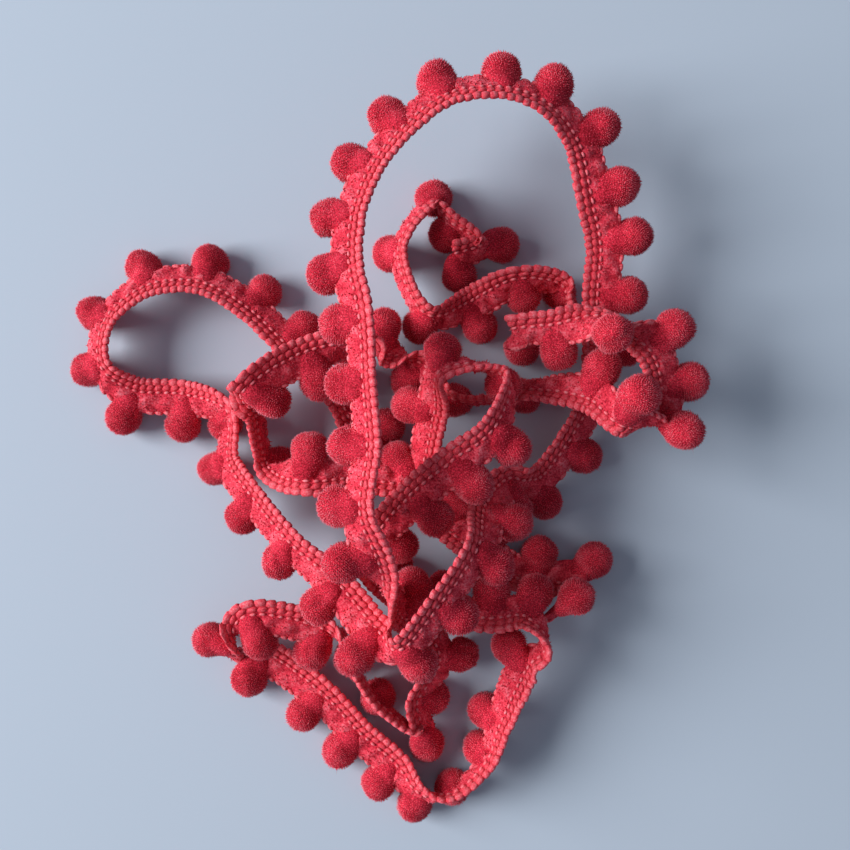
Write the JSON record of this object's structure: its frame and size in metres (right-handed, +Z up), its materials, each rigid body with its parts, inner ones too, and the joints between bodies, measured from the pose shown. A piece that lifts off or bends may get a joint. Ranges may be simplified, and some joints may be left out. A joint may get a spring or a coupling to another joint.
{
  "type": "pompom fringe trim",
  "caption": "Knitted coral-red tape with a row of small round pile pompoms along one edge, lying loosely tangled in a heap of open loops.",
  "frame": {"origin": "middle of the heap's outline in plan, on the surface that the heap rests on", "axes": "+Z up from that surface, +Y along the heap's long way towards its big loop, +X towards the side away from the left loop"},
  "size_m": [0.1376, 0.163, 0.0413],
  "materials": {
    "tape_yarn": "soft matt crochet-knitted acrylic yarn, coral red, slightly fuzzy",
    "pompom_pile": "dense short velvety acrylic pile, coral red with pink tips"
  },
  "bodies": {
    "root": {"heading_tape": "tape_yarn", "pompoms_01": "pompom_pile", "pompoms_02": "pompom_pile", "pompoms_03": "pompom_pile", "pompoms_04": "pompom_pile", "pompoms_05": "pompom_pile", "pompoms_06": "pompom_pile", "pompoms_07": "pompom_pile", "pompoms_08": "pompom_pile", "pompoms_09": "pompom_pile", "pompoms_10": "pompom_pile", "pompoms_11": "pompom_pile", "pompoms_12": "pompom_pile", "pompoms_13": "pompom_pile", "pompoms_14": "pompom_pile", "pompoms_15": "pompom_pile", "pompoms_16": "pompom_pile", "pompoms_17": "pompom_pile", "pompoms_18": "pompom_pile", "pompoms_19": "pompom_pile", "pompoms_20": "pompom_pile", "pompoms_21": "pompom_pile", "pompoms_22": "pompom_pile", "pompoms_23": "pompom_pile", "pompoms_24": "pompom_pile", "pompoms_25": "pompom_pile", "pompoms_26": "pompom_pile", "pompoms_27": "pompom_pile", "pompoms_28": "pompom_pile", "pompoms_29": "pompom_pile", "pompoms_30": "pompom_pile", "pompoms_31": "pompom_pile", "pompoms_32": "pompom_pile", "pompoms_33": "pompom_pile", "pompoms_34": "pompom_pile", "pompoms_35": "pompom_pile", "pompoms_36": "pompom_pile", "pompoms_37": "pompom_pile", "pompoms_38": "pompom_pile", "pompoms_39": "pompom_pile", "pompoms_40": "pompom_pile", "pompoms_41": "pompom_pile", "pompoms_42": "pompom_pile", "pompoms_43": "pompom_pile", "pompoms_44": "pompom_pile", "pompoms_45": "pompom_pile", "pompoms_46": "pompom_pile", "pompoms_47": "pompom_pile", "pompoms_48": "pompom_pile", "pompoms_49": "pompom_pile", "pompoms_50": "pompom_pile", "pompoms_51": "pompom_pile", "pompoms_52": "pompom_pile", "pompoms_53": "pompom_pile", "pompoms_54": "pompom_pile", "pompoms_55": "pompom_pile", "pompoms_56": "pompom_pile", "pompoms_57": "pompom_pile", "pompoms_58": "pompom_pile"}
  },
  "joints": []
}
